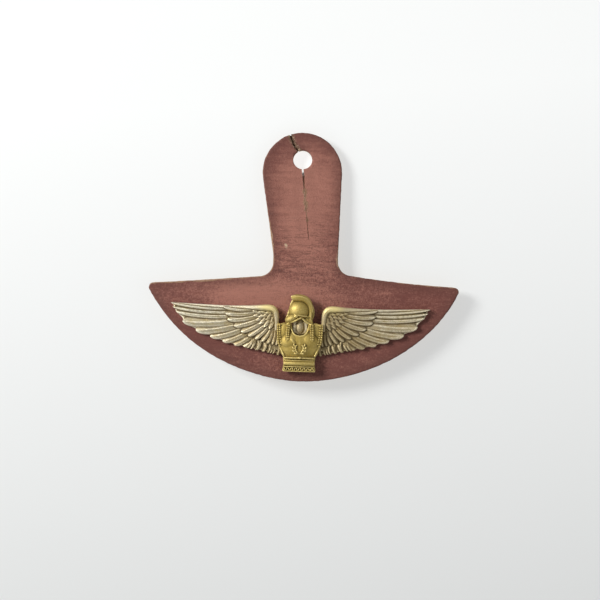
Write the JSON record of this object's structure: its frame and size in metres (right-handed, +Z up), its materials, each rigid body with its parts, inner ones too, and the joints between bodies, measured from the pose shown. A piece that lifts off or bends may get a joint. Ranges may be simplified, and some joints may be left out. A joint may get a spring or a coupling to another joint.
{
  "type": "winged badge on leather pocket hanger",
  "caption": "Two-tone winged badge with a helmet and cuirass, pinned through a crescent leather hanger that buttons onto a pocket by the hole in its tongue.",
  "frame": {"origin": "centre of the button hole, half way through the leather", "axes": "+X to the viewer's right along the wings, +Y from the badge's front to the garment, +Z up the tongue"},
  "size_m": [0.0718, 0.0095, 0.0576],
  "materials": {
    "leather": "vegetable-tanned leather, red-brown on its grain side, raw at its edges and back",
    "silvered_metal": "silvered nickel-silver stamping, worn warm, dark in its grooves",
    "struck_brass": "aged struck brass, dark in its grooves",
    "fitting_metal": "dull nickel-washed brass sheet",
    "solder": "dull grey soft solder",
    "pin_steel": "drawn steel wire"
  },
  "bodies": {
    "badge_and_hanger": {"leather_hanger": "leather", "wings_plate": "silvered_metal", "helmet_and_cuirass": "struck_brass", "upper_bust_rivet": "struck_brass", "lower_bust_rivet": "struck_brass", "hinge_bracket": "fitting_metal", "hinge_solder": "solder", "hinge_rivet": "pin_steel", "catch_bracket": "fitting_metal", "catch_solder": "solder"},
    "pin": {"pin_stem": "pin_steel"},
    "lock": {"catch_lock": "fitting_metal"}
  },
  "joints": [
    {"name": "pin_swing", "type": "hinge", "parent": "badge_and_hanger", "child": "pin", "pos_m": [-0.01702, 0.00215, -0.03865], "axis": [0, 0, 1], "range_deg": [0, 100]},
    {"name": "lock_turn", "type": "hinge", "parent": "badge_and_hanger", "child": "lock", "pos_m": [0.01798, 0.00215, -0.03865], "axis": [1, 0, 0], "range_deg": [0, 100]}
  ]
}
